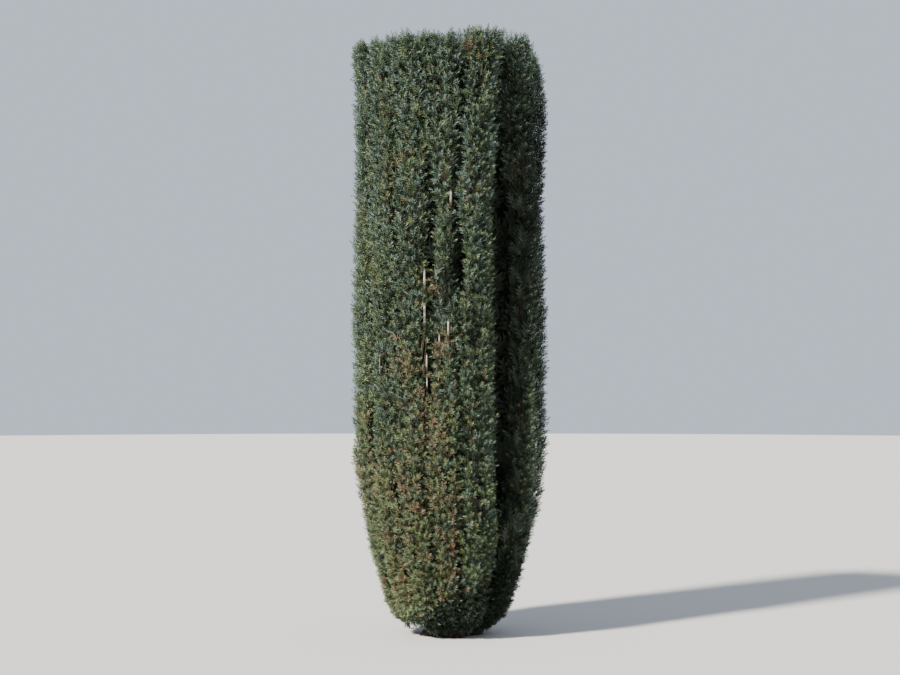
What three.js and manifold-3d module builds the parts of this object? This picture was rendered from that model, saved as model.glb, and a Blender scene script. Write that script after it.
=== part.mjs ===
// An Irish yew, 12 ft tall: an upright, dense evergreen with a level top. Its short flared trunk
// forks low down into a ring of steep boughs, and each bough carries one tall column of foliage.
// Millimetres, +Z up. The origin is at ground level, in the middle of the trunk's flat cut, and
// the side that faces -Y is the front. Bearings are in degrees, anticlockwise from +X.

import * as THREE from "three";
import { mergeVertices } from "three/addons/utils/BufferGeometryUtils.js";
import Module from "manifold-3d";

const wasm = await Module();
wasm.setup();

const clearance = 0.3; // between any two solids that meet
const limbGap = 9; // foliage stands this far off the trunk and the boughs' sides
const goldenShare = (3 - Math.sqrt(5)) / 2; // share of a turn from each shoot to the next

const crown = {
  height: 3658, // the tallest shoot tip
  foot: 95, // the lowest foliage
  fullWidthHeight: 1030, // the crown's foot widens up to here
  spreadPower: 0.25, // how quickly it widens
  drift: 2.5, // degrees that a column wanders round the crown as it rises
  driftRise: 870, // height over which that turns by a radian
  bulge: 0.014, // share by which a column swells and narrows as it rises
  bulgeRise: 310,
};

// Outer columns of foliage: where each stands, how far its face is from the middle, and how far its
// top is below the tallest. The fourth and fifth are slimmer, which leaves a deep cleft between them
// that their sway closes at the top, and the tops of the fifth and sixth are drawn in as a shoulder.
const outerColumns = [
  { bearing: 219, reach: 590, below: 26 },
  { bearing: 245, reach: 600, below: 22 },
  { bearing: 267, reach: 588, below: 30 },
  { bearing: 287, reach: 604, below: 0, girth: 140, footSway: 7, topSway: 8 },
  { bearing: 334, reach: 604, below: 12, girth: 120, topSway: -12, drawnIn: 36 },
  { bearing: 5, reach: 610, below: 28, drawnIn: 78 },
  { bearing: 37, reach: 602, below: 20 },
  { bearing: 70, reach: 592, below: 30 },
  { bearing: 103, reach: 604, below: 14 },
  { bearing: 136, reach: 590, below: 32 },
  { bearing: 166, reach: 600, below: 24 },
  { bearing: 191, reach: 612, below: 20 },
];
const outerGirth = 172; // half the depth of an outer column, from its axis to its face
const footGirth = { share: 0.62, over: 600 }; // it begins at this share and grows over this height
const shoulder = { from: 3150, over: 450 }; // a column that is drawn in leans inward from here up
const sway = { footBelow: 1100, footOver: 800, topAbove: 2500 }; // where columns stand further round
const plain = { girth: outerGirth, drawnIn: 0, footSway: 0, topSway: 0 };
const innerRing = { count: 5, out: 205, girth: 190, bearing: 20, below: 24, step: 8 };
const middleBelow = 18;

const core = {
  inset: 46, // the dense inside stops this far short of the shoot tips
  footInset: 24, // and this far at the crown's foot
  topGap: 62, // and this far short of the column's top
  sideGap: 11, // and this far short of the next column
  sides: 9,
  levels: 10, // rings between its two rounded ends
  lump: 0.16, // share by which its surface wavers
  dome: 60, // height over which each end rounds off
  domeRing: 12, // height of the first ring in a dome
  outerFoot: 125, // where the cores of the outer columns begin
  innerFoot: 600,
  firstSeed: 900,
};

const trunk = {
  groundRadius: 182,
  flare: { radius: 141.5, height: 60 }, // a point on the curve of the root flare
  waist: { radius: 128, height: 150 },
  head: { radius: 142, height: 262 },
  shoulder: { radius: 96.5, height: 325 },
  top: { radius: 42.5, height: 350 },
  roots: 5, // lobes of the root flare
  rootDepth: 0.13,
  rootTurn: 0.6,
  sides: 20,
  steps: 9,
};

const bough = {
  rootRadius: 23,
  tipRadius: 15,
  sides: 7,
  steps: 3,
  outer: { from: 104, fromHeight: 285, height: 470 },
  inner: { from: 56, fromHeight: 330, height: 640 },
  sunk: 45, // how far its centre line starts below the trunk's skin
  bow: 12, // how far it bends outward
  short: 0.62, // an outer bough stops this share of the column's girth short of its axis
  firstBearing: 221, // the outer boughs leave the trunk evenly, from here round
};
const stem = {
  straight: 90, // it runs on in line with its bough for this long
  joinsAxis: 400, // and reaches the column's axis this far above the bough's tip
  topGap: 190, // from its tip to the column's top
  tipRadius: 6,
  bends: 5,
  steps: 12,
};
const twig = {
  radius: 9,
  tipRadius: 4,
  sides: 3,
  steps: 3,
  rise: 120, // how far below its spray it leaves the stem
  reach: 0.1, // share of its spray's length that it runs along
};

// Half of a spray's outline, from root to tip, as shares of its width and length
const sprayOutline = [
  [0, 0],
  [0.5, 0.36],
  [0.27, 0.5],
  [0.38, 0.72],
  [0, 1],
];
const spray = {
  length: 158,
  width: 80,
  thickness: 12,
  thickest: 0.45, // share of its length
  sunk: 18, // how deep its root is set into the core
  pitch: 142, // rise along a column from one spray to the next
  jitter: 0.6, // share of the pitch by which that varies
  size: [0.85, 1.15],
  lean: [0.28, 0.52], // least and most that it points outward against upward
  roll: 0.6, // radians that it may turn about its own length
  openAngle: 1.25, // radians round from its outward side that an outer column bears sprays
  lowest: 20, // above the crown's foot
  highest: 126, // below the column's top
  innerDepth: 330, // an inner column bears them only this near its top
  firstSeed: 100,
};
const cap = {
  count: 5, // sprays that close a column's top
  spread: 0.8, // share of the core's top that they stand on
  lean: 0.3,
  drop: 44, // how much lower the last of them ends than the first
  size: [0.85, 1],
};

const barkMaterial = new THREE.MeshStandardMaterial({
  color: new THREE.Color(0.29, 0.2, 0.16),
  roughness: 0.9,
  metalness: 0,
});
const foliageMaterial = new THREE.MeshStandardMaterial({
  color: new THREE.Color(0.2, 0.25, 0.14),
  roughness: 0.75,
  metalness: 0,
});

// Random numbers from 0 to 1 that are the same on every run
function seeded(seed) {
  let state = seed >>> 0;
  return () => {
    state = (Math.imul(state, 1664525) + 1013904223) >>> 0;
    return state / 4294967296;
  };
}

const up = new THREE.Vector3(0, 0, 1);
const radians = THREE.MathUtils.degToRad;
const mix = THREE.MathUtils.lerp;

// A level vector one long, turned round from +X
function heading(turn) {
  return new THREE.Vector3(Math.cos(turn), Math.sin(turn), 0);
}

// A closed skin on a grid: place(side, row) gives each point, and the first and last rows are
// single points that close the ends.
function gridSkin(sides, rows, place) {
  const profile = [];
  for (let row = 0; row < rows; row++) {
    profile.push(new THREE.Vector2(row === 0 || row === rows - 1 ? 0 : 1, row));
  }
  const geometry = new THREE.LatheGeometry(profile, sides);
  const position = geometry.getAttribute("position");
  for (let side = 0; side <= sides; side++) {
    for (let row = 0; row < rows; row++) {
      const point = place(side % sides, row);
      position.setXYZ(side * rows + row, point.x, point.y, point.z);
    }
  }
  return geometry;
}

// A geometry as a solid that can be joined and cut
function solid(geometry) {
  const bare = geometry.clone();
  bare.deleteAttribute("normal");
  bare.deleteAttribute("uv");
  const merged = mergeVertices(bare, 1e-3);
  return new wasm.Manifold(
    new wasm.Mesh({
      numProp: 3,
      vertProperties: merged.getAttribute("position").array,
      triVerts: new Uint32Array(merged.index.array),
    }),
  );
}

// A solid's skin
function skin(shape) {
  const made = shape.getMesh();
  const geometry = new THREE.BufferGeometry();
  geometry.setAttribute("position", new THREE.BufferAttribute(made.vertProperties, 3));
  geometry.setIndex(new THREE.BufferAttribute(made.triVerts, 1));
  return geometry;
}

// Shapes joined into one solid, with any sealed hollow filled and any loose scrap dropped
function joined(shapes) {
  const bodies = wasm.Manifold.union(shapes).decompose();
  return bodies.sort((a, b) => b.volume() - a.volume())[0];
}

// A solid as a named mesh
function mesh(name, shape, material) {
  const geometry = skin(shape);
  geometry.computeVertexNormals();
  const result = new THREE.Mesh(geometry, material);
  result.name = name;
  return result;
}

// A tapering round limb along a curve, flat at both ends
function limb(curve, startRadius, endRadius, sides, steps) {
  const frames = curve.computeFrenetFrames(steps);
  return gridSkin(sides, steps + 3, (side, row) => {
    const step = THREE.MathUtils.clamp(row - 1, 0, steps);
    const centre = curve.getPointAt(step / steps);
    if (row === 0 || row === steps + 2) return centre;
    const turn = (side / sides) * 2 * Math.PI;
    const radius = mix(startRadius, endRadius, step / steps);
    return centre
      .addScaledVector(frames.normals[step], Math.cos(turn) * radius)
      .addScaledVector(frames.binormals[step], Math.sin(turn) * radius);
  });
}

// The crown

// Share of the full width that the crown has at a height
function spread(z) {
  return Math.min(1, Math.pow(Math.max(z, 1) / crown.fullWidthHeight, crown.spreadPower));
}

// How far a column reaches from its own axis, less towards its foot
function girthAt(column, z) {
  const grown = THREE.MathUtils.clamp((z - crown.foot) / footGirth.over, 0, 1);
  return column.outer ? column.girth * mix(footGirth.share, 1, grown) : column.girth;
}

// How far from the crown's middle a column's face is
function faceReach(column, z) {
  const share = THREE.MathUtils.clamp((z - shoulder.from) / shoulder.over, 0, 1);
  return (column.reach - column.drawnIn * share ** 2) * spread(z);
}

// How many degrees further round a column stands than its bearing
function swayAt(column, z) {
  const low = THREE.MathUtils.smoothstep(sway.footBelow - z, 0, sway.footOver);
  const high = THREE.MathUtils.smoothstep(z, sway.topAbove, crown.height);
  const wander = crown.drift * Math.sin(z / crown.driftRise + column.index * 2.3);
  return wander + column.footSway * low + column.topSway * high;
}

// The middle of a column at a height
function axisAt(column, z) {
  const swell = 1 + crown.bulge * Math.sin(z / crown.bulgeRise + column.index * 1.9);
  const out = column.outer
    ? faceReach(column, z) * swell - girthAt(column, z)
    : faceReach(column, z);
  return heading(radians(column.bearing + swayAt(column, z))).multiplyScalar(out).setZ(z);
}

// How far a column reaches from its axis in one direction, up to its neighbours less a gap
function reachAt(column, direction, z, gap) {
  const here = axisAt(column, z);
  let reach = girthAt(column, z);
  for (const other of columns) {
    if (other === column) continue;
    const way = axisAt(other, z).sub(here);
    const facing = Math.cos(direction - Math.atan2(way.y, way.x));
    if (facing > 0) reach = Math.min(reach, (way.length() / 2 - gap) / facing);
  }
  return reach;
}

// True where a point is in a column's own space
function inSpace(column, point) {
  if (point.z > column.top || point.z < crown.foot) return false;
  const from = point.clone().sub(axisAt(column, point.z));
  const direction = Math.atan2(from.y, from.x);
  return Math.hypot(from.x, from.y) <= reachAt(column, direction, point.z, clearance);
}

const columns = [
  ...outerColumns.map((column) => ({ ...plain, ...column, outer: true })),
  ...Array.from({ length: innerRing.count }, (_, n) => ({
    ...plain,
    bearing: innerRing.bearing + (n * 360) / innerRing.count,
    reach: innerRing.out,
    girth: innerRing.girth,
    below: innerRing.below + innerRing.step * (n % 3),
    outer: false,
  })),
  { ...plain, bearing: 0, reach: 0, girth: innerRing.girth, below: middleBelow, outer: false },
].map((column, index) => ({
  ...column,
  index,
  name: `${index + 1}`.padStart(2, "0"),
  top: crown.height - column.below,
}));

// The trunk: a root flare with lobes, a waist, and a rounded head that the boughs leave from
function trunkGeometry(grow) {
  const points = [trunk.flare, trunk.waist, trunk.head, trunk.shoulder, trunk.top];
  const profile = new THREE.SplineCurve([
    new THREE.Vector2(trunk.groundRadius, 0),
    ...points.map((point) => new THREE.Vector2(point.radius, point.height)),
  ]);
  return gridSkin(trunk.sides, trunk.steps + 3, (side, row) => {
    if (row === 0) return new THREE.Vector3(0, 0, 0);
    if (row === trunk.steps + 2) return new THREE.Vector3(0, 0, trunk.top.height + grow);
    const ring = profile.getPoint((row - 1) / trunk.steps);
    const turn = (side / trunk.sides) * 2 * Math.PI;
    const flare = Math.max(0, 1 - ring.y / trunk.waist.height);
    const lobe = 1 + trunk.rootDepth * flare * Math.cos(trunk.roots * turn + trunk.rootTurn);
    const height = ring.y + grow * (ring.y / trunk.top.height);
    return heading(turn).multiplyScalar((ring.x + grow) * lobe).setZ(height);
  });
}

// The line that a column's bough follows, from inside the trunk's head to the column's underside,
// carried on past its tip by extra
function boughCurve(column, extra = 0) {
  const size = column.outer ? bough.outer : bough.inner;
  const even = bough.firstBearing + (column.index * 360) / outerColumns.length;
  const start = heading(radians(column.outer ? even : column.bearing));
  start.multiplyScalar(column.reach ? size.from : 0).setZ(size.fromHeight);
  const end = axisAt(column, size.height);
  const out = end.clone().setZ(0).normalize();
  if (column.outer) end.addScaledVector(out, -girthAt(column, size.height) * bough.short);
  const way = end.clone().sub(start).normalize();
  const bend = start.clone().lerp(end, 0.5).addScaledVector(out, bough.bow);
  start.addScaledVector(way, -bough.sunk);
  end.addScaledVector(way, extra);
  return new THREE.QuadraticBezierCurve3(start, bend, end);
}

// A bough, or with grow the space that is kept clear round it
function boughSolid(column, grow) {
  const curve = boughCurve(column, grow ? clearance : 0);
  const { rootRadius, tipRadius, sides, steps } = bough;
  return solid(limb(curve, rootRadius + grow, tipRadius + grow, sides, steps));
}

// Foliage

function coreFoot(column) {
  return column.outer ? core.outerFoot : core.innerFoot;
}

// How far a core reaches from its column's axis, before its lumps
function coreReach(column, direction, z) {
  const room = reachAt(column, direction, z, core.sideGap);
  if (!column.outer) return room;
  const inset = mix(core.footInset, core.inset, Math.min(1, z / crown.fullWidthHeight));
  return Math.min(room, girthAt(column, z) - inset);
}

// The dense inside of a column: a lumpy pillar, domed at both ends, that keeps to the column's space
function coreSolid(column) {
  const random = seeded(core.firstSeed + column.index);
  const foot = coreFoot(column);
  const top = column.top - core.topGap;
  const rings = Array.from({ length: core.levels }, (_, n) =>
    mix(foot + core.dome, top - core.dome, n / (core.levels - 1)),
  );
  const heights = [foot, foot + core.domeRing, ...rings, top - core.domeRing, top];
  const rows = heights.length;
  const lumps = Array.from({ length: core.sides * rows }, () => 1 - core.lump * random());
  return solid(
    gridSkin(core.sides, rows, (side, row) => {
      const z = heights[row];
      const centre = axisAt(column, z);
      if (row === 0 || row === rows - 1) return centre;
      const direction = (side / core.sides) * 2 * Math.PI + radians(column.bearing);
      const nearEnd = Math.min(1, (z - foot) / core.dome, (top - z) / core.dome);
      const round = Math.sqrt(1 - (1 - nearEnd) ** 2);
      const radius = coreReach(column, direction, z) * round * lumps[side * rows + row];
      return centre.addScaledVector(heading(direction), radius);
    }),
  );
}

// The outline of one spray of needles, from its root along a direction
function sprayRim(root, along, across, length) {
  const width = spray.width * (length / spray.length);
  const otherHalf = sprayOutline.slice(1, -1).reverse();
  const rim = [...sprayOutline, ...otherHalf.map(([w, l]) => [-w, l])];
  return rim.map(([w, l]) =>
    root.clone().addScaledVector(across, w * width).addScaledVector(along, l * length),
  );
}

// A spray as a thin toothed blade
function spraySolid(root, along, across, length) {
  const rim = sprayRim(root, along, across, length);
  const face = new THREE.Vector3().crossVectors(across, along).normalize();
  const middle = root.clone().addScaledVector(along, length * spray.thickest);
  const half = (spray.thickness / 2) * (length / spray.length);
  return solid(
    gridSkin(rim.length, 3, (side, row) =>
      row === 1 ? rim[side] : middle.clone().addScaledVector(face, row === 0 ? -half : half),
    ),
  );
}

// Where a column's sprays stand: up its sides, then over its top. A cap spray's share says how far
// out it stands on the top, and a side spray's is 1.
function sprayPlaces(column) {
  const random = seeded(spray.firstSeed + column.index);
  const places = [];
  const outward = radians(column.bearing);
  const lowest = column.outer ? crown.foot + spray.lowest : column.top - spray.innerDepth;
  const highest = column.top - spray.highest;
  const open = column.outer ? spray.openAngle : Math.PI;
  for (let n = 0; lowest + n * spray.pitch < highest; n++) {
    places.push({
      z: lowest + (n + random() * spray.jitter) * spray.pitch,
      direction: outward + mix(-open, open, (n * goldenShare) % 1),
      lean: mix(...spray.lean, random()),
      roll: mix(-spray.roll, spray.roll, random()),
      size: mix(...spray.size, random()),
      share: 1,
    });
  }
  for (let n = 0; n < cap.count; n++) {
    const share = Math.sqrt((n + 0.5) / cap.count) * cap.spread;
    const size = mix(...cap.size, random());
    places.push({
      z: column.top - (cap.drop * n) / cap.count - spray.length * size,
      direction: outward + n * goldenShare * 2 * Math.PI,
      lean: cap.lean * share,
      roll: random() * Math.PI,
      size,
      share,
    });
  }
  return places;
}

// Twigs that branch from the stem, each with the spray it carries, where both keep to the column's
// space and touch no limb
function shootSolids(column) {
  const lowest = coreFoot(column) + core.dome / 2;
  const shapes = [];
  for (const place of sprayPlaces(column)) {
    const out = heading(place.direction);
    const along = out.clone().multiplyScalar(place.lean).add(up).normalize();
    const across = up.clone().cross(out).applyAxisAngle(along, place.roll);
    const surface = coreReach(column, place.direction, place.z) * (1 - core.lump / 2);
    const root = axisAt(column, place.z).addScaledVector(out, (surface - spray.sunk) * place.share);
    const length = spray.length * place.size;
    const outside = sprayRim(root, along, across, length).slice(2);
    if (!outside.every((point) => inSpace(column, point))) continue;
    const from = axisAt(column, Math.max(lowest, place.z - twig.rise));
    const to = root.clone().addScaledVector(along, length * twig.reach);
    const line = new THREE.QuadraticBezierCurve3(from, root, to);
    const shoot = [
      solid(limb(line, twig.radius, twig.tipRadius, twig.sides, twig.steps)),
      spraySolid(root, along, across, length),
    ];
    if (shoot.every((shape) => shape.intersect(limbRoom).isEmpty())) shapes.push(...shoot);
  }
  return shapes;
}

// The stem that carries a column on from its bough's tip, up its middle
function stemSolid(column) {
  const tip = boughCurve(column, clearance).getPoint(1);
  const line = [tip, tip.clone().addScaledVector(boughCurve(column).getTangent(1), stem.straight)];
  const low = tip.z + stem.joinsAxis;
  const high = column.top - stem.topGap;
  for (let n = 0; n <= stem.bends; n++) line.push(axisAt(column, mix(low, high, n / stem.bends)));
  const curve = new THREE.CatmullRomCurve3(line);
  return solid(limb(curve, bough.tipRadius, stem.tipRadius, bough.sides, stem.steps));
}

// A column of foliage as one solid, cut clear of the trunk and the boughs
function foliageSolid(column) {
  const dense = coreSolid(column).subtract(limbRoom);
  return joined([dense, stemSolid(column), ...shootSolids(column)]);
}

// The space kept clear round the trunk and all the boughs
const limbRoom = wasm.Manifold.union([
  solid(trunkGeometry(limbGap)),
  ...columns.map((column) => boughSolid(column, limbGap)),
]);

const yew = new THREE.Group();
yew.name = "irish_yew";
yew.add(mesh("trunk", solid(trunkGeometry(0)), barkMaterial));
const trunkRoom = solid(trunkGeometry(clearance));
for (const column of columns) {
  const limbSolid = boughSolid(column, 0).subtract(trunkRoom);
  yew.add(mesh(`bough_${column.name}`, limbSolid, barkMaterial));
  yew.add(mesh(`foliage_${column.name}`, foliageSolid(column), foliageMaterial));
}

export default yew;
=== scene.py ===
import math

import bmesh
import bpy
import numpy as np
from mathutils import Matrix, Vector, noise


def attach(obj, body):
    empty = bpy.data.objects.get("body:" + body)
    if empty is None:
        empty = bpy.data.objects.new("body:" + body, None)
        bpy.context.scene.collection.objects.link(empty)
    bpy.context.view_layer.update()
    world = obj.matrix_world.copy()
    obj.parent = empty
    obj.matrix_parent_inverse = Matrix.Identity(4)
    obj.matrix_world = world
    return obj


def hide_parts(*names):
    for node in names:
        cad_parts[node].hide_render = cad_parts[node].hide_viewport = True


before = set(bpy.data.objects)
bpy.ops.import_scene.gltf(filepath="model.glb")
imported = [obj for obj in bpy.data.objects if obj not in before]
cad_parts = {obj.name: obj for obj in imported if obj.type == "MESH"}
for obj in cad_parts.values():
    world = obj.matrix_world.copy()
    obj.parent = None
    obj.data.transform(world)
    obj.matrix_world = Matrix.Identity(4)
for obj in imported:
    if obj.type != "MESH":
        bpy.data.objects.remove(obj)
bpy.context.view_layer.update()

# An Irish yew, dressed over its CAD solids: bark on the trunk and the boughs, and twigs and needles
# grown on from the boughs' tips by the rule that shapes the solids. Metres, +Z up, front at -Y.

scene = bpy.context.scene
goldenShare = (3 - math.sqrt(5)) / 2  # share of a turn from each shoot to the next
clearance = 0.0003  # between two columns
mostAlongY = 0.8  # past this share of Y, a limb's frame is taken from X


# The crown's columns, as in the solids

crown = {
    "height": 3.658,
    "foot": 0.095,
    "fullWidthHeight": 1.03,
    "spreadPower": 0.25,
    "drift": 2.5,  # degrees
    "driftRise": 0.87,
    "driftStep": 2.3,  # from one column to the next, as below
    "bulge": 0.014,
    "bulgeRise": 0.31,
    "bulgeStep": 1.9,
    "footShare": 0.62,
    "footOver": 0.6,
}
outerColumns = [  # bearing in degrees, reach, how far below the tallest its top is, and what sets it apart
    (219, 0.59, 0.026, {}),
    (245, 0.6, 0.022, {}),
    (267, 0.588, 0.03, {}),
    (287, 0.604, 0, {"girth": 0.14, "footSway": 7, "topSway": 8}),
    (334, 0.604, 0.012, {"girth": 0.12, "topSway": -12, "drawnIn": 0.036}),
    (5, 0.61, 0.028, {"drawnIn": 0.078}),
    (37, 0.602, 0.02, {}),
    (70, 0.592, 0.03, {}),
    (103, 0.604, 0.014, {}),
    (136, 0.59, 0.032, {}),
    (166, 0.6, 0.024, {}),
    (191, 0.612, 0.02, {}),
]
plain = {"girth": 0.172, "drawnIn": 0, "footSway": 0, "topSway": 0, "ring": "outer"}
shoulder = (3.15, 0.45)  # from where a top is drawn in, and over what height
sway = {"footBelow": (1.1, -0.8), "topAbove": 2.5}
innerRing = {"count": 5, "reach": 0.205, "girth": 0.19, "bearing": 20, "below": 0.024, "step": 0.008}
middleBelow = 0.018
groove = {"widest": 0.75, "fill": (0.45, 1), "rise": 0.19, "step": 2.1}  # how the grooves are filled
cleft = {
    "apart": 40,  # degrees between two columns from which the groove is left open
    "closes": (2.65, 0.35),  # from where, and over what height
    "turn": (-1.2, -0.4),  # radians from +X between which it lies
    "behind": 16,  # the column at its back
}


def makeColumns():
    inner = {"girth": innerRing["girth"], "ring": "inner"}
    rows = list(outerColumns)
    for n in range(innerRing["count"]):
        bearing = innerRing["bearing"] + n * 360 / innerRing["count"]
        rows.append((bearing, innerRing["reach"], innerRing["below"] + innerRing["step"] * (n % 3), inner))
    rows.append((0, 0, middleBelow, inner))
    made = []
    for index, (bearing, reach, below, own) in enumerate(rows):
        column = {**plain, **own, "bearing": bearing, "reach": reach, "index": index}
        column["outer"] = column["ring"] == "outer"
        column["name"] = f"{index + 1:02d}"
        column["top"] = crown["height"] - below
        made.append(column)
    return made


columns = makeColumns()


def mix(low, high, share):
    return low + (high - low) * share


def ramp(value, start, over):  # grows evenly from 0 at start to 1 at start + over
    return np.clip((value - start) / over, 0, 1)


def eased(value, start, over):  # grows the same way, and slowly at both ends
    share = ramp(value, start, over)
    return share * share * (3 - 2 * share)


def nearness(x, z, middle, height, wide, tall):  # 1 at a place on the front, and less all round it
    return np.exp(-(((x - middle) / wide) ** 2) - ((z - height) / tall) ** 2)


def heading(turn):  # a level direction, turned round from +X
    turn = np.asarray(turn, float)
    return np.stack([np.cos(turn), np.sin(turn), np.zeros_like(turn)], axis=-1)


def unit(vectors):
    return vectors / np.linalg.norm(vectors, axis=-1, keepdims=True)


def spread(z):  # share of the full width that the crown has at a height
    return np.minimum(1, (np.maximum(z, 0.001) / crown["fullWidthHeight"]) ** crown["spreadPower"])


def girthAt(column, z):  # how far a column reaches from its own axis
    grown = ramp(z, crown["foot"], crown["footOver"])
    share = mix(crown["footShare"], 1, grown) if column["outer"] else np.ones_like(grown)
    return column["girth"] * share


def faceReach(column, z):  # how far from the crown's middle a column's face is
    share = ramp(z, *shoulder)
    wave = np.sin(z / crown["bulgeRise"] + column["index"] * crown["bulgeStep"])
    bulged = 1 + crown["bulge"] * wave * column["outer"]
    return (column["reach"] - column["drawnIn"] * share**2) * spread(z) * bulged


def swayAt(column, z):  # how many degrees further round a column stands than its bearing
    low = eased(z, *sway["footBelow"])
    high = eased(z, sway["topAbove"], crown["height"] - sway["topAbove"])
    wander = crown["drift"] * np.sin(z / crown["driftRise"] + column["index"] * crown["driftStep"])
    return wander + column["footSway"] * low + column["topSway"] * high


def axisAt(column, z):  # the middle of a column
    z = np.asarray(z, float)
    out = faceReach(column, z) - (girthAt(column, z) if column["outer"] else 0)
    point = heading(np.radians(column["bearing"] + swayAt(column, z))) * out[..., None]
    point[..., 2] = z
    return point


def reachAt(column, direction, z, gap):  # how far a column reaches in one direction, up to its neighbours
    here = axisAt(column, z)
    reach = girthAt(column, z) * np.ones_like(direction)
    for other in columns:
        if other is column:
            continue
        way = axisAt(other, z) - here
        facing = np.cos(direction - np.arctan2(way[..., 1], way[..., 0]))
        limit = (np.hypot(way[..., 0], way[..., 1]) / 2 - gap) / np.maximum(facing, 1e-6)
        reach = np.where(facing > 0, np.minimum(reach, limit), reach)
    return reach


def grooveShares(column, z):  # how far the grooves are filled on a column's two sides, anticlockwise first
    shares = []
    for turn in (1, -1):
        other = columns[(column["index"] + turn) % len(outerColumns)]
        apart = abs((other["bearing"] - column["bearing"] + 180) % 360 - 180)
        shares.append(1 if apart < cleft["apart"] else eased(z, *cleft["closes"]))
    return shares


dents = [  # hollows in the front that show dark: x, height, how wide, tall and deep, and before what y
    (-0.17, 2.29, 0.05, 0.08, 0.12, -0.3),
    (-0.19, 2.45, 0.05, 0.13, 0.07, -0.3),
    (-0.2, 2.65, 0.035, 0.05, 0.06, -0.3),
    (0.02, 2.25, 0.045, 0.2, 0.09, -0.3),
    (0.025, 2.85, 0.03, 0.14, 0.04, -0.3),
    (-0.175, 1.79, 0.03, 0.11, 0.05, -0.3),
    (-0.16, 1.6, 0.03, 0.08, 0.04, -0.3),
    (-0.33, 1.32, 0.03, 0.09, 0.035, -0.3),
    (0.17, 1.55, 0.035, 0.07, 0.05, -0.3),
    (0.17, 3.32, 0.035, 0.1, 0.05, -0.3),
    (0.22, 3.1, 0.04, 0.08, 0.05, -0.3),
    (0.385, 1.9, 0.055, 1.1, 0.1, -0.1),
]
swell = {"deep": 0.01, "size": 0.13, "stretch": 1.5, "start": 0.4, "gain": 1.2}  # broad swells of the face
lump = {"deep": 0.03, "size": 0.055, "stretch": 1.7, "start": 0.45, "gain": 1.1}  # tufts on it


def dented(points):  # how deep the dents in the front are at each point
    x, y, z = np.moveaxis(points, -1, 0)
    hollow = np.zeros(x.shape)
    for *place, deep, before in dents:
        hollow = hollow + deep * nearness(x, z, *place) * (y < before)
    return hollow


def setBack(points, wave):  # how far the face lies back between its swells or its lumps
    size, stretch = wave["size"], wave["stretch"]
    values = [noise.noise(Vector((x, y, z / stretch)) / size) for x, y, z in points.reshape(-1, 3)]
    share = np.clip(wave["start"] - wave["gain"] * np.array(values), 0, 1)
    return wave["deep"] * share.reshape(points.shape[:-1])


def faceAt(column, direction, z, gap):  # reachAt, filled out in the grooves and hollowed at the dents
    reach = reachAt(column, direction, z, gap)
    if not column["outer"]:
        return reach
    girth, crownReach = girthAt(column, z), faceReach(column, z)
    turn = direction - np.radians(column["bearing"] + swayAt(column, z))
    turn = (turn + math.pi) % (2 * math.pi) - math.pi
    shut = np.where(turn > 0, *grooveShares(column, z))
    slow = np.sin(z / groove["rise"] + column["index"] * groove["step"] + np.sign(turn))
    fill = mix(*groove["fill"], 0.5 + 0.5 * slow) * shut
    turn = np.minimum(abs(turn), groove["widest"])
    inner = crownReach - girth
    crownLine = np.sqrt(crownReach**2 - (inner * np.sin(turn)) ** 2) - inner * np.cos(turn)
    filled = np.where(reach >= girth - 1e-9, mix(girth, crownLine, fill), reach)
    surface = axisAt(column, z) + heading(direction) * filled[..., None]
    return filled - dented(surface) - setBack(surface, swell)


def throughPoints(points, steps):  # a smooth line through points
    points = np.asarray(points, float)
    spans = len(points) - 1
    along = np.linspace(0, spans, steps + 1)
    span = np.minimum(along.astype(int), spans - 1)
    t = (along - span)[:, None]
    start, end = points[span], points[span + 1]
    leaving = (end - points[np.maximum(span - 1, 0)]) / 2
    arriving = (points[np.minimum(span + 2, spans)] - start) / 2
    return (
        (2 * start - 2 * end + leaving + arriving) * t**3
        + (3 * end - 3 * start - 2 * leaving - arriving) * t**2
        + leaving * t
        + start
    )


# Materials

barkGrain = {
    "stretch": (1, 1, 0.22),  # ridges run up the limb
    "ridgeDetail": 5,
    "blotches": 17,  # in a metre
    "blotchDetail": 4,
    "crack": (0.36, 0.6),  # the noise's values from crack to ridge
    "flake": (0, 0.18),
    "shed": (0.52, 0.66),  # the noise's values over which scales are shed
    "ridgeShare": 0.7,  # of the relief
    "roughness": (0.95, 0.72),  # in the cracks and on the ridges
    "gloss": 0.25,
}
barkLooks = {  # colours of ridge, crack and scale, ridges and scales in a metre, and the relief's depth
    "trunk": ((0.07, 0.036, 0.026), (0.018, 0.01, 0.008), (0.12, 0.066, 0.046), 26, 60, 0.006),
    "bough": ((0.15, 0.09, 0.06), (0.04, 0.026, 0.018), (0.24, 0.16, 0.11), 60, 120, 0.003),
    "twig": ((0.05, 0.05, 0.024), (0.026, 0.024, 0.014), (0.08, 0.06, 0.034), 160, 300, 0.0008),
    "bareStem": ((0.44, 0.36, 0.28), (0.2, 0.145, 0.11), (0.58, 0.5, 0.4), 110, 220, 0.001),
}
needleSheen = {
    "wax": {"Smoothest": 0.38, "Roughest": 0.62, "Patch": 90},  # patches in a metre
    "waxDetail": 3,
    "veins": 0.0004,
    "gloss": 0.5,
    "dull": {"shade": 0.1, "paintedShadeGreen": 0.3},  # gloss of the shaded sprays' needles and of the needles with painted shade
}
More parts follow.
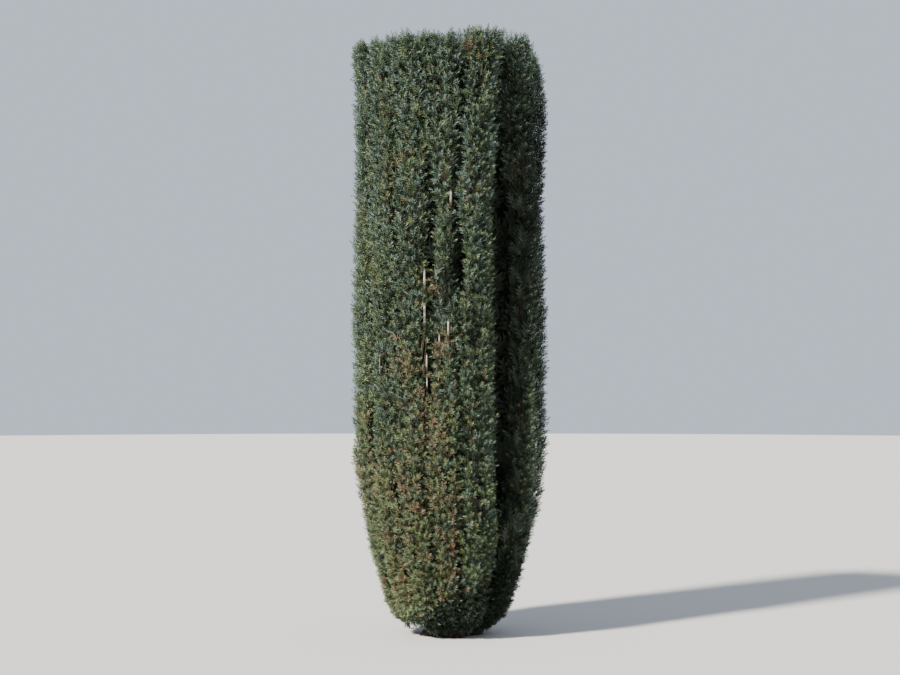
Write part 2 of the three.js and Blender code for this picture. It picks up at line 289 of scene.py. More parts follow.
# Each has the colour of a shoot's tip, and its share low down or left, higher up, at the top, and where
# shade is painted
needleColours = [
    ("deepGreen", (0.035, 0.061, 0.033), "green", (0.1, 0.27, 0.32, 0.11)),
    ("green", (0.056, 0.092, 0.042), "freshGreen", (0.18, 0.34, 0.16, 0.01)),
    ("blueGreen", (0.055, 0.092, 0.07), "paleBlueGreen", (0.02, 0.24, 0.46, 0)),
    ("olive", (0.1, 0.115, 0.045), "freshGreen", (0.35, 0.08, 0.04, 0)),
    ("bronze", (0.11, 0.092, 0.047), "tan", (0.24, 0.008, 0.006, 0)),
    ("rust", (0.17, 0.095, 0.05), "tan", (0.03, 0.002, 0.002, 0)),
    ("freshGreen", (0.13, 0.175, 0.078), None, (0.08, 0.035, 0.015, 0)),
    ("paleBlueGreen", (0.125, 0.175, 0.135), None, (0, 0.025, 0.025, 0)),
    ("tan", (0.155, 0.13, 0.07), None, (0, 0, 0, 0)),
    ("shade", (0.05, 0.064, 0.044), None, (0, 0, 0, 0)),
    # a very dark green, dealt only as painted shade on the shoots
    ("paintedShadeGreen", (0.018, 0.029, 0.018), None, (0, 0, 0, 0.88)),
]


def setInputs(tree, node, inputs):  # each input is set to a value, or linked to another node's output
    for name, value in inputs.items():
        if isinstance(value, bpy.types.NodeSocket):
            tree.links.new(value, node.inputs[name])
        else:
            node.inputs[name].default_value = value


def addNode(tree, kind, inputs, **settings):
    node = tree.nodes.new(f"ShaderNode{kind}")
    for name, value in settings.items():
        setattr(node, name, value)
    setInputs(tree, node, inputs)
    return node


def mixedColour(group, factor, first, second):
    inputs = {0: factor, 6: first, 7: second}  # 6 and 7 are the node's two colours
    return addNode(group, "Mix", inputs, data_type="RGBA").outputs[2]


def remapped(group, value, start, end, low=0, high=1):  # a value brought from one range to another
    limits = {"From Min": start, "From Max": end, "To Min": low, "To Max": high}
    return addNode(group, "MapRange", {"Value": value, **limits}).outputs["Result"]


def noiseAt(group, place, scale, detail):
    inputs = {"Vector": place, "Scale": scale, "Detail": detail}
    return addNode(group, "TexNoise", inputs).outputs["Fac"]


def shaderGroup(name, inlets, outlets):  # a group, the place, what it is given and where results go
    group = bpy.data.node_groups.new(name, "ShaderNodeTree")
    for way, sockets in (("INPUT", inlets), ("OUTPUT", outlets)):
        for socket, kind in sockets.items():
            group.interface.new_socket(socket, in_out=way, socket_type=f"NodeSocket{kind}")
    place = addNode(group, "TexCoord", {}).outputs["Object"]
    return group, place, group.nodes.new("NodeGroupInput").outputs, group.nodes.new("NodeGroupOutput")


def scalyBarkGroup():  # bark in thin scales on long ridges: gives its colour, roughness and height
    inlets = dict.fromkeys(("Ridge Colour", "Crack Colour", "Scale Colour"), "Color")
    inlets |= {"Ridges": "Float", "Scales": "Float"}
    results = {"Colour": "Color", "Roughness": "Float", "Height": "Float"}
    group, place, given, result = shaderGroup("scalyBark", inlets, results)
    upward = addNode(group, "Mapping", {"Vector": place, "Scale": barkGrain["stretch"]}).outputs["Vector"]
    cells = {"Vector": upward, "Scale": given["Scales"]}
    edges = addNode(group, "TexVoronoi", cells, feature="DISTANCE_TO_EDGE").outputs["Distance"]
    ridges = noiseAt(group, upward, given["Ridges"], barkGrain["ridgeDetail"])
    blotches = noiseAt(group, place, barkGrain["blotches"], barkGrain["blotchDetail"])
    crack = remapped(group, ridges, *barkGrain["crack"])
    flake = remapped(group, edges, *barkGrain["flake"])
    shed = remapped(group, blotches, *barkGrain["shed"])
    base = mixedColour(group, crack, given["Crack Colour"], given["Ridge Colour"])
    heights = {0: crack, 1: barkGrain["ridgeShare"], 2: flake}
    setInputs(group, result, {
        "Colour": mixedColour(group, shed, base, given["Scale Colour"]),
        "Roughness": remapped(group, crack, 0, 1, *barkGrain["roughness"]),
        "Height": addNode(group, "Math", heights, operation="MULTIPLY_ADD").outputs["Value"],
    })
    return group


def needleSkinGroup():  # the faint wax and veins of a needle: gives its roughness and height
    inlets = dict.fromkeys(needleSheen["wax"], "Float")
    results = {"Roughness": "Float", "Height": "Float"}
    group, place, given, result = shaderGroup("needleSkin", inlets, results)
    wax = noiseAt(group, place, given["Patch"], needleSheen["waxDetail"])
    rough = remapped(group, wax, 0, 1, given["Smoothest"], given["Roughest"])
    setInputs(group, result, {"Roughness": rough, "Height": wax})
    return group


scalyBark = scalyBarkGroup()
needleSkin = needleSkinGroup()


def newMaterial(name):
    material = bpy.data.materials.new(name)
    material.use_nodes = True
    tree = material.node_tree
    return material, tree, tree.nodes["Principled BSDF"]


def groupMaterial(name, group, given, depth, gloss, colour=None):  # made by one of the groups
    material, tree, shader = newMaterial(name)
    finish = addNode(tree, "Group", given, node_tree=group).outputs
    bump = addNode(tree, "Bump", {"Distance": depth, "Height": finish["Height"]})
    setInputs(tree, shader, {
        "Base Color": colour or finish["Colour"],
        "Roughness": finish["Roughness"],
        "Normal": bump.outputs["Normal"],
        "Specular IOR Level": gloss,
    })
    return material


def barkMaterial(name, ridge, crack, scale, ridges, scales, depth):
    look = {"Ridge Colour": (*ridge, 1), "Crack Colour": (*crack, 1), "Scale Colour": (*scale, 1)}
    look |= {"Ridges": ridges, "Scales": scales}
    return groupMaterial(name, scalyBark, look, depth, barkGrain["gloss"])


def needleMaterial(name, colour):
    gloss = needleSheen["dull"].get(name, needleSheen["gloss"])
    wax, veins = needleSheen["wax"], needleSheen["veins"]
    return groupMaterial(f"{name}Needles", needleSkin, wax, veins, gloss, (*colour, 1))


barks = {name: barkMaterial(f"{name}Bark", *look) for name, look in barkLooks.items()}
needleNames = [name for name, _, _, _ in needleColours]
needleMaterials = [needleMaterial(name, colour) for name, colour, _, _ in needleColours]
tipOf = np.array([needleNames.index(tip or name) for name, _, tip, _ in needleColours])
print("materials ready")


# Trunk and boughs, with their bark's relief

trunk = {
    "profile": [(0.182, 0), (0.1415, 0.06), (0.128, 0.15), (0.142, 0.262), (0.0965, 0.325), (0.0425, 0.35)],
    "roots": 5,
    "rootDepth": 0.13,
    "rootTurn": 0.6,
    "flareHeight": 0.15,
    "sides": 144,
    "rings": 70,
    "flutes": 11,  # the ridges that run up into the boughs
    "fluteDepth": 0.0035,
    "fluteTwist": 6,  # radians in a metre
    "relief": 0.0045,
    "reliefSize": 0.03,
    "reliefStretch": 0.3,
}
bough = {
    "rootRadius": 0.023,
    "tipRadius": 0.015,
    "outer": {"from": 0.104, "fromHeight": 0.285, "height": 0.47},
    "inner": {"from": 0.056, "fromHeight": 0.33, "height": 0.64},
    "sunk": 0.045,
    "bow": 0.012,
    "short": 0.62,
    "firstBearing": 221,
    "sides": 26,
    "rings": 30,
    "relief": 0.0016,
    "reliefRun": 0.25,  # about a bough's length
    "reliefSize": 0.014,
    "reliefStretch": 0.35,
    "reliefStep": 7,  # sets each bough's relief apart
}
relief = {"ridges": 0.65, "grain": 0.5, "grainSize": 2.3, "grainNoise": (0.8, 2.1, 4)}


def rolledSkin(sides, rings, place):  # a grid rolled up round a limb, its seam merged and its ends closed
    bm = bmesh.new()
    bmesh.ops.create_grid(bm, x_segments=sides, y_segments=rings, size=1)
    for vert in bm.verts:
        vert.co = place((vert.co.x + 1) * math.pi, (vert.co.y + 1) / 2)
    bmesh.ops.remove_doubles(bm, verts=bm.verts[:], dist=1e-6)
    bmesh.ops.holes_fill(bm, edges=bm.edges[:], sides=0)
    bmesh.ops.recalc_face_normals(bm, faces=bm.faces[:])
    return bm


def roundLimb(turn, radius, height):
    return Vector((math.cos(turn) * radius, math.sin(turn) * radius, height))


def roughened(point, limb, offset):  # how far the bark stands out, in ridges drawn out along the limb
    size = limb["reliefSize"]
    place = Vector((point.x / size, point.y / size, point.z * limb["reliefStretch"] / size + offset))
    ridges = 1 - 2 * abs(noise.noise(place))
    grain = noise.fractal(place * relief["grainSize"], *relief["grainNoise"])
    return limb["relief"] * (relief["ridges"] * (ridges - 0.5) + relief["grain"] * grain)


def shown(name, data):  # a new object in the scene
    thing = bpy.data.objects.new(name, data)
    scene.collection.objects.link(thing)
    return thing


def placed(name, mesh, node):  # a mesh as a piece that stands for its CAD node
    piece = shown(name, mesh)
    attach(piece, "root")
    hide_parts(node)


def meshFrom(name, bm, material):
    mesh = bpy.data.meshes.new(name)
    bm.to_mesh(mesh)
    bm.free()
    mesh.materials.append(material)
    return mesh


def finished(name, bm, material, node):
    mesh = meshFrom(name, bm, material)
    mesh.shade_smooth()
    placed(name, mesh, node)


def makeTrunk():
    profile = throughPoints(trunk["profile"], trunk["rings"])

    def place(turn, share):
        radius, height = profile[round(share * trunk["rings"])]
        flare = max(0, 1 - height / trunk["flareHeight"])
        lobe = 1 + trunk["rootDepth"] * flare * math.cos(trunk["roots"] * turn + trunk["rootTurn"])
        flute = trunk["fluteDepth"] * math.cos(trunk["flutes"] * turn + trunk["fluteTwist"] * height)
        worn = roughened(roundLimb(turn, radius, height), trunk, 0)
        return roundLimb(turn, radius * lobe + flute + worn, height)

    finished("trunk_bark", rolledSkin(trunk["sides"], trunk["rings"], place), barks["trunk"], "trunk")


def boughLine(column, steps):
    size = bough[column["ring"]]
    even = bough["firstBearing"] + column["index"] * 360 / len(outerColumns)
    start = heading(math.radians(even if column["outer"] else column["bearing"]))
    start = start * (size["from"] if column["reach"] else 0)
    start[2] = size["fromHeight"]
    end = axisAt(column, size["height"])
    level = end * (1, 1, 0)
    out = level / max(np.linalg.norm(level), 1e-9)
    if column["outer"]:
        end = end - out * girthAt(column, size["height"]) * bough["short"]
    way = unit(end - start)
    bend = (start + end) / 2 + out * bough["bow"]
    start = start - way * bough["sunk"]
    t = np.linspace(0, 1, steps + 1)[:, None]
    return (1 - t) ** 2 * start + 2 * t * (1 - t) * bend + t**2 * end


def makeBough(column):
    line = [Vector(point) for point in boughLine(column, bough["rings"])]

    def place(turn, share):
        step = round(share * bough["rings"])
        ahead = (line[min(step + 1, len(line) - 1)] - line[max(step - 1, 0)]).normalized()
        across = ahead.cross(Vector((0, 1, 0) if abs(ahead.y) < mostAlongY else (1, 0, 0))).normalized()
        beside = ahead.cross(across)
        radius = mix(bough["rootRadius"], bough["tipRadius"], share)
        point = roundLimb(turn, radius, share * bough["reliefRun"])
        out = radius + roughened(point, bough, column["index"] * bough["reliefStep"])
        return line[step] + across * math.cos(turn) * out + beside * math.sin(turn) * out

    skin = rolledSkin(bough["sides"], bough["rings"], place)
    finished(f"bough_bark_{column['name']}", skin, barks["bough"], f"bough_{column['name']}")


makeTrunk()
for column in columns:
    makeBough(column)
print("trunk and boughs ready")


# Small shapes that are repeated: a needle, shoots of needles, a shaded spray and a rod

shoot = {  # one year's growth, with needles all round it
    "length": 0.052,
    "needles": 17,
    "needleLength": 0.028,
    "needleWidth": 0.0055,
    "needleFold": 0.0007,
    "lean": (1.15, 0.42),  # of its first and last needles, in radians
    "leanJitter": 0.18,
    "needleSize": (1.05, 0.72),
    "sizeJitter": (0.85, 1.1),
    "needlesTo": 0.97,
    "shapes": 7,
    "axisRadius": 0.0012,
    "tipShare": 0.72,  # needles from here on have the tip's colour
    "roll": 0.3,
    "sizes": (0.72, 1.2),
    "tipSizes": (0.85, 1.15),
    "seed": 41,
}
spray = {"length": 0.17, "width": 0.1, "fold": 0.012}
sprayTeeth = [  # on each side: where one starts and ends along the spray, and its tip across and along
    (0, 0.25, 0.45, 0.38),
    (0.2, 0.46, 0.5, 0.62),
    (0.4, 0.66, 0.42, 0.82),
    (0.6, 0.86, 0.22, 1),
]


def shapeArrays(bm):  # a bmesh as its points and triangles
    bmesh.ops.triangulate(bm, faces=bm.faces[:])
    bm.verts.index_update()
    points = np.array([vert.co[:] for vert in bm.verts])
    faces = np.array([[vert.index for vert in face.verts] for face in bm.faces])
    bm.free()
    return points, faces


def repeated(faces, size, count):  # the triangles of so many copies of a shape of this many points
    return (faces[None] + (np.arange(count) * size)[:, None, None]).reshape(-1, 3)


def scattered(shape, turns, places):  # copies of a shape, turned and set in their places, joined
    points, faces = shape
    copies = np.einsum("nij,pj->npi", turns, points) + places[:, None]
    return copies.reshape(-1, 3), repeated(faces, len(points), len(turns))


def turnsTo(along, facing, size):  # frames whose Z runs along and whose Y looks to where the shape faces
    across = unit(np.cross(facing, along))
    return np.stack([across, np.cross(along, across), along], axis=-1) * size[:, None, None]


def needleShape():  # one needle up Z, folded a little along its middle
    bm = bmesh.new()
    bmesh.ops.create_circle(bm, cap_ends=True, segments=4, radius=0.5)
    upright = Matrix.Rotation(math.pi / 2, 4, "X") @ Matrix.Translation((0, 0.5, 0))
    size = Matrix.Diagonal((shoot["needleWidth"], 1, shoot["needleLength"], 1))
    bmesh.ops.transform(bm, matrix=size @ upright, verts=bm.verts[:])
    root, *edges, tip = sorted(bm.verts, key=lambda vert: vert.co.z)
    bmesh.ops.connect_verts(bm, verts=[root, tip])
    bmesh.ops.translate(bm, verts=edges, vec=(0, shoot["needleFold"], 0))
    return shapeArrays(bm)


def shootShape(needle, seed):  # needles round an upright axis, steeper and shorter towards its tip
    random = np.random.default_rng(seed)
    count, jitter = shoot["needles"], shoot["leanJitter"]
    share = (np.arange(count) + 0.5) / count
    turn = (np.arange(count) * goldenShare + random.random()) * 2 * math.pi
    lean = mix(*shoot["lean"], share) + random.uniform(-jitter, jitter, count)
    up = np.array([0, 0, 1])
    along = unit(heading(turn) * np.sin(lean)[:, None] + up * np.cos(lean)[:, None])
    size = mix(*shoot["needleSize"], share) * random.uniform(*shoot["sizeJitter"], count)
    places = up * (share * shoot["length"] * shoot["needlesTo"])[:, None]
    return scattered(needle, turnsTo(along, np.tile(up, (count, 1)), size), places)


def axisShape():  # the thin axis of a shoot
    bm = bmesh.new()
    size, length = shoot["axisRadius"], shoot["length"]
    bmesh.ops.create_cone(bm, cap_ends=True, segments=3, radius1=size, radius2=0, depth=length)
    bmesh.ops.translate(bm, verts=bm.verts[:], vec=(0, 0, length / 2))
    return shapeArrays(bm)


def shadeShape():  # a whole spray in the shade, as a feather with a few large teeth
    bm = bmesh.new()
    size = Matrix.Diagonal((spray["width"], spray["fold"], spray["length"], 1))
    for low, high, out, tip in sprayTeeth:
        for side in (1, -1):
            rim = [bm.verts.new(co) for co in ((0, 0, low), (side * out, out, tip), (0, 0, high))]
            bm.faces.new(rim[::side])
    bmesh.ops.transform(bm, matrix=size, verts=bm.verts[:])
    return shapeArrays(bm)


def rodShape(sides, rings):  # a rod of radius one with a ring at every whole height
    return shapeArrays(rolledSkin(sides, rings, lambda turn, share: roundLimb(turn, 1, share * rings)))


def bentRods(lines, radii, sides, look):  # a tapered rod along every line, and its material's number
    points, faces = rodShape(sides, lines.shape[1] - 1)
    ring = np.rint(points[:, 2]).astype(int)
    radius = mix(*radii, np.linspace(0, 1, lines.shape[1]))[ring, None]
    ahead = unit(np.gradient(lines, axis=1))
    overall = unit(lines[:, -1] - lines[:, 0])
    steady = np.where(np.abs(overall[:, 1:2]) < mostAlongY, [[0, 1, 0]], [[1, 0, 0]])
    across = unit(np.cross(ahead, steady[:, None]))
    beside = np.cross(ahead, across)
    skin = across[:, ring] * points[:, 0, None] + beside[:, ring] * points[:, 1, None]
    skin = lines[:, ring] + skin * radius
    faces = repeated(faces, len(points), len(lines))
    return skin.reshape(-1, 3), faces, np.full(len(faces), look)


def joined(name, parts, materials, node):  # parts are (points, triangles, material numbers)
    points, faces, looks = zip(*parts)
    starts = np.cumsum([0] + [len(part) for part in points])
    faces = np.concatenate([part + start for part, start in zip(faces, starts)])
    mesh = bpy.data.meshes.new(name)
    mesh.from_pydata(np.concatenate(points), [], faces, shade_flat=False)
    for material in materials:
        mesh.materials.append(material)
    mesh.polygons.foreach_set("material_index", np.concatenate(looks).astype(np.int32))
    placed(name, mesh, node)
    return len(faces)


needle = needleShape()
shootShapes = [shootShape(needle, shoot["seed"] + n) for n in range(shoot["shapes"])]
axis = axisShape()
shade = shadeShape()
tipNeedle = np.repeat(np.arange(shoot["needles"]) >= shoot["needles"] * shoot["tipShare"], len(needle[1]))


# The way a column grows

stem = {
    "boughSteps": 16,
    "straight": 0.09,
    "joinsAxis": 0.4,
    "topGap": 0.19,
    "radius": (bough["tipRadius"], 0.006),
    "bends": 5,
    "steps": 24,
    "sides": 8,
}
face = {"leastOut": 0.015, "needleOver": -0.008, "shortest": 0.42, "across": 0.024, "lowest": 0.023}


def stemLine(column):
    line = boughLine(column, stem["boughSteps"])
    tip = line[-1]
    ahead = unit(line[-1] - line[-2])
    low, high = tip[2] + stem["joinsAxis"], column["top"] - stem["topGap"]
    heights = np.linspace(low, high, stem["bends"] + 1)
    return throughPoints([tip, tip + ahead * stem["straight"], *axisAt(column, heights)], stem["steps"])


def alongStem(line, z):  # the stem's middle at each height
    return np.stack([np.interp(z, line[:, 2], line[:, n]) for n in range(3)], axis=-1)


def atFace(column, direction, z, depth):  # a point so far under a column's face
    out = np.maximum(face["leastOut"], faceAt(column, direction, z, clearance) - depth)
    return axisAt(column, z) + heading(direction) * out[..., None]


def lineSpots(lines, share):  # points and directions on every line, at shares of its length
    spans = lines.shape[1] - 1
    span = np.minimum((share * spans).astype(int), spans - 1)
    rest = (share * spans - span)[..., None]
    row = np.arange(len(lines))[:, None]
    start, end = lines[row, span], lines[row, span + 1]
    return start + (end - start) * rest, unit(end - start)


alongTwig = np.linspace(0, 1, 6)  # where the points of an upright twig are


def withWayIn(start, upright, share, sag=0):  # the twigs' bent ways out from the stem, and the twigs
    root = upright[:, 0]
    return np.stack([start, mix(start, root, share) - (0, 0, sag), root], axis=1), upright


sideTwig = {  # upright twigs that come up under the column's face, by the source's golden share
    "pitch": {"outer": 0.02, "inner": 0.06},
    "jitter": 0.012,
    "openAngle": (-1.9, 1.9),  # from the column's own bearing, clockwise and anticlockwise
    "shut": {"outer": 0.9, "inner": 0.6},  # share of the girth within which a neighbour leaves no twig
    "sideways": 1.0,  # past this angle every other twig is left out
    "lowest": -0.04,
    "highest": 0.1,
    "topGap": 0.055,
    "footShare": 0.55,  # the pitch at the crown's foot, as a share of that above
    "footOver": 0.5,
    "rise": 0.26,  # how far below its root it leaves the stem
    "bend": 0.6,
    "sag": 0.02,
    "run": (0.24, 0.4),
    "depth": (0.075, 0.042),  # how far under the face it runs, from root to tip
    "depthJitter": 0.012,
    "drift": 0.22,
    "shoots": 16,
    "radius": (0.0042, 0.0016),
    "sides": 3,
    "seed": 300,
}
# The columns round the cleft, and how far round they bear twigs
cleftSides = {3: (-1.6, 2.3), 4: (-3, 1.7), 5: (-2.6, 1.7), 16: (-0.9, 0.9)}


def sideTwigHeights(column):  # nearer each other at the crown's foot, where the columns are slim
    pitch = sideTwig["pitch"][column["ring"]]
    heights = [crown["foot"] + sideTwig["lowest"]]
    while heights[-1] < column["top"] - sideTwig["highest"]:
        grown = ramp(heights[-1], crown["foot"], sideTwig["footOver"])
        heights.append(heights[-1] + pitch * mix(sideTwig["footShare"], 1, grown))
    return np.array(heights)


def sideTwigLines(column, line, random):
    z = sideTwigHeights(column)
    n = np.arange(len(z))
    z = z + random.random(len(z)) * sideTwig["jitter"]
    turn = mix(*cleftSides.get(column["index"], sideTwig["openAngle"]), (n * goldenShare) % 1)
    direction = math.radians(column["bearing"]) + turn
    free = reachAt(column, direction, z, clearance) > girthAt(column, z) * sideTwig["shut"][column["ring"]]
    free &= (abs(turn) < sideTwig["sideways"]) | (n % 2 == 0)
    z, direction = z[free], direction[free]
    count, jitter = len(z), sideTwig["depthJitter"]
    top = np.minimum(z + random.uniform(*sideTwig["run"], count), column["top"] - sideTwig["topGap"])
    heights = mix(z[:, None], top[:, None], alongTwig)
    turn = direction[:, None] + random.uniform(-1, 1, (count, 1)) * sideTwig["drift"] * alongTwig
    depth = mix(*sideTwig["depth"], alongTwig) + random.uniform(-jitter, jitter, (count, 1))
    start = alongStem(line, z - sideTwig["rise"])
    return withWayIn(start, atFace(column, turn, heights, depth), sideTwig["bend"], sideTwig["sag"])


skirtTwig = {  # low twigs that hang down before the trunk
    "count": 25,
    "angle": (-1.4, 1.4),  # from the column's bearing, where it isn't by the cleft
    "top": (0.2, 0.34),
    "low": (0.045, 0.1),
    "raised": (0.05, 0.025, 0, 0, 0, 0.03, *[0.05] * 6),  # on each outer column
    "depth": (0.075, 0.055),
    "bend": 0.5,
    "shoots": 12,
}


def skirtTwigLines(column, line, random):
    count = skirtTwig["count"]
    share = (np.arange(count) * goldenShare) % 1
    turn = mix(*cleftSides.get(column["index"], skirtTwig["angle"]), share)
    direction = math.radians(column["bearing"]) + turn
    top = random.uniform(*skirtTwig["top"], count)
    low = random.uniform(*skirtTwig["low"], count) + skirtTwig["raised"][column["index"]]
    heights = mix(top[:, None], low[:, None], alongTwig)
    hanging = atFace(column, direction[:, None], heights, mix(*skirtTwig["depth"], alongTwig))
    return withWayIn(np.tile(line[0], (count, 1)), hanging, skirtTwig["bend"])


capTwig = {  # twigs that close the column's top
    "count": 24,
    "spread": 0.94,
    "rise": 0.38,
    "bend": 0.5,
    "run": (0.13, 0.17),
    "below": 0.05,
    "drop": 0.022,
    "shoulder": 0.018,
    "shoulderPower": 4,
    "inside": 0.012,
    "shoots": 10,
}


def capTwigLines(column, line, random):
    n = np.arange(capTwig["count"])
    share = np.sqrt((n + 0.5) / capTwig["count"]) * capTwig["spread"]
    direction = math.radians(column["bearing"]) + n * goldenShare * 2 * math.pi
    run = random.uniform(*capTwig["run"], len(n))
    rounded = capTwig["shoulder"] * share ** capTwig["shoulderPower"]
    top = column["top"] - capTwig["below"] - random.random(len(n)) * capTwig["drop"] - rounded
    heights = mix((top - run)[:, None], top[:, None], alongTwig)
    reach = reachAt(column, direction[:, None], heights, clearance) - capTwig["inside"]
    upright = axisAt(column, heights) + heading(direction[:, None]) * (reach * share[:, None])[..., None]
    return withWayIn(alongStem(line, top - capTwig["rise"]), upright, capTwig["bend"])


shootAngle = {
    "uneven": 0.3,  # how far a shoot is from its even place on the twig, in steps
    "ends": (0.01, 0.99),
    "round": 1.6,  # radians round the twig from its outward side
    "lean": (1.25, 0.8),  # radians from the twig's own direction, at its root and its tip
    "jitter": 0.25,
    "tip": 0.5,
    "hang": 0.8,  # how much further the lowest shoots of the crown bend over
    "hangsBelow": (0.24, -0.14),
}


def shootsOn(column, lines, count, random):  # the shoots' roots, directions, lengths and twigs
    n = np.arange(count)
    uneven = random.uniform(-shootAngle["uneven"], shootAngle["uneven"], (len(lines), count))
    share = (n + 0.5) / count + uneven / count
    root, ahead = lineSpots(lines, np.clip(share, *shootAngle["ends"]))
    away = root - axisAt(column, root[..., 2])
    out = unit(away * (1, 1, 0) + (1e-6, 0, 0))
    side = np.cross([0, 0, 1], out)
    phase = random.random((len(lines), 1))
    turn = mix(-shootAngle["round"], shootAngle["round"], (n * goldenShare + phase) % 1)
    turn = turn + random.uniform(-1, 1, turn.shape) * shootAngle["jitter"]
    hanging = ramp(root[..., 2], *shootAngle["hangsBelow"])
    lean = mix(*shootAngle["lean"], share) + shootAngle["hang"] * hanging
    lean = lean + random.uniform(-1, 1, lean.shape) * shootAngle["jitter"]
    radial = out * np.cos(turn)[..., None] + side * np.sin(turn)[..., None]
    along = unit(ahead * np.cos(lean)[..., None] + radial * np.sin(lean)[..., None])
    length = shoot["length"] * random.uniform(*shoot["sizes"], turn.shape)
    tipRoot = lines[:, -1:]
    tipAway = (tipRoot - axisAt(column, tipRoot[..., 2])) / column["girth"]
    tipAhead = unit(unit(tipRoot - lines[:, -2:-1]) + tipAway * shootAngle["tip"])
    tipLength = shoot["length"] * random.uniform(*shoot["tipSizes"], (len(lines), 1))
    root = np.concatenate([root, tipRoot], axis=1).reshape(-1, 3)
    along = np.concatenate([along, tipAhead], axis=1).reshape(-1, 3)
    length = np.concatenate([length, tipLength], axis=1).ravel()
    return root, along, length, np.repeat(np.arange(len(lines)), count + 1)


def keptInSpace(column, root, along, length):  # the share of each shoot that has room, or 0 if too little
    over = along * (length + face["needleOver"])[:, None]
    tip = root + over
    away = tip - axisAt(column, tip[:, 2])
    direction = np.arctan2(away[:, 1], away[:, 0])
    room = faceAt(column, direction, tip[:, 2], -face["across"]) - setBack(tip, lump)
    start = np.linalg.norm((root - axisAt(column, root[:, 2]))[:, :2], axis=1)
    end = np.linalg.norm(away[:, :2], axis=1)
    share = np.where(end > room, (room - start) / np.maximum(end - start, 1e-6), 1)
    headroom = (column["top"] - root[:, 2]) / np.maximum(over[:, 2], 1e-6)
    share = np.minimum(share, np.where(over[:, 2] > 0, headroom, 1))
    share = np.where(tip[:, 2] < face["lowest"], 0, share)
    return np.where(share > face["shortest"], np.clip(share, 0, 1), 0)


bareStems = [  # where each shows on the front: x, lowest and highest, with its radius and its column
    (-0.15, 2.13, 2.19, 0.008, 1),
    (-0.15, 1.9, 1.99, 0.0085, 1),
    (-0.137, 1.64, 1.695, 0.0055, 1),
    (-0.135, 1.53, 1.565, 0.0045, 1),
    (0.005, 2.62, 2.655, 0.008, 2),
    (-0.01, 1.835, 1.895, 0.0065, 2),
    (-0.062, 1.785, 1.815, 0.006, 2),
    (-0.42, 1.6, 1.7, 0.0045, 0),
    (-0.5, 1.65, 1.73, 0.0045, 0),
]
bareStem = {
    "depth": 0.034,
    "window": 0.014,
    "before": -0.36,
    "covered": 0.2,  # share of the shoots in front of it that are kept
    "leaves": 0.4,  # how far below it leaves the stem
    "bend": 0.6,
    "runOn": 0.03,  # how far it runs on out of sight, and how deep
    "hidden": 0.11,
    "points": 5,
    "taper": (1.1, 0.7),
    "sides": 7,
}
limbSpace = {"trunkRadius": 0.17, "trunkHeight": 0.37, "boughRadius": 0.034, "boughSteps": 8}


def inWindow(points):  # true in front of the bare stems
    x, y, z = points.T
    hit = np.zeros(len(points), bool)
    for middle, low, high, _, _ in bareStems:
        hit |= (abs(x - middle) < bareStem["window"]) & (z > low) & (z < high)
    return hit & (y < bareStem["before"])


def bareStemLine(column, line, x, low, high):
    def at(z, depth):
        middle = axisAt(column, z)
        reach = float(girthAt(column, z)) - depth
        direction = -math.acos(max(-1, min(1, (x - middle[0]) / reach)))
        return middle + heading(direction) * reach

    start = alongStem(line, np.array([low - bareStem["leaves"]]))[0]
    below = at(low - bareStem["runOn"], bareStem["hidden"])
    above = at(high + bareStem["runOn"], bareStem["hidden"])
    bare = [at(z, bareStem["depth"]) for z in np.linspace(low, high, bareStem["points"])]
    return np.array([start, mix(start, below, bareStem["bend"]), below, *bare, above])


def nearLimb(points):  # true by the trunk and the boughs
    near = np.hypot(points[:, 0], points[:, 1]) < limbSpace["trunkRadius"]
    near &= points[:, 2] < limbSpace["trunkHeight"]
    for spot in np.concatenate([boughLine(column, limbSpace["boughSteps"]) for column in columns]):
        near |= np.linalg.norm(points - spot, axis=1) < limbSpace["boughRadius"]
    return near


dealt = {  # each pair is where a share starts to grow, and over what run
    "byTwig": 0.5,  # share of the shoots that have their twig's colour
    "brownLeft": (0.3, -0.45),
    "leastLeft": 0.12,
    "brownBehind": 0.5,
    "brownBelow": (1.6, -0.7),
    "strip": (-0.1, 1.35, 0.1, 0.38),  # a brown strip up the front: x, height, how wide and tall
    "stripShare": 0.7,
    "leastBrown": 0.04,
    "topAbove": (1.9, 0.9),
}
paintedShade = {  # where dark colours paint shade on the front's shoots, with pairs as above
    "below": (3.5, -0.4),
    "ridgeRight": (0.4, 0.05),
    "ridgeAbove": (1.4, 0.6),
    "ridgeBefore": 0.1,
    "paler": 0.4,  # how much less so on the ridge's far side, low down
    "palerRight": (0.47, 0.05),
    "palerBelow": (2.65, -0.2),
    "cleftEdge": (0.27, 0.4),  # its x low down and high up
    "edgeMoves": (2.6, 0.3),
    "cleftOver": 0.03,
    "cleftLeft": (0.47, -0.05),
    "cleftBefore": 0.06,
    "cleftShare": 0.72,
    "foot": (0.31, -0.12),
    "footSlope": 0.62,
}
paintedShadePlaces = [  # painted shade in hollows and dim spots on the front: x, height, how wide and tall, and the share of shoots there that are dark
    (0.15, 1.3, 0.06, 0.9, 0.45),
    (-0.25, 2.1, 0.05, 0.35, 0.6),
    (-0.05, 2.1, 0.05, 0.15, 0.7),
    (-0.05, 2.65, 0.05, 0.2, 0.5),
    (0.05, 2.7, 0.05, 0.12, 0.35),
    (0.15, 2.7, 0.05, 0.15, 0.35),
]
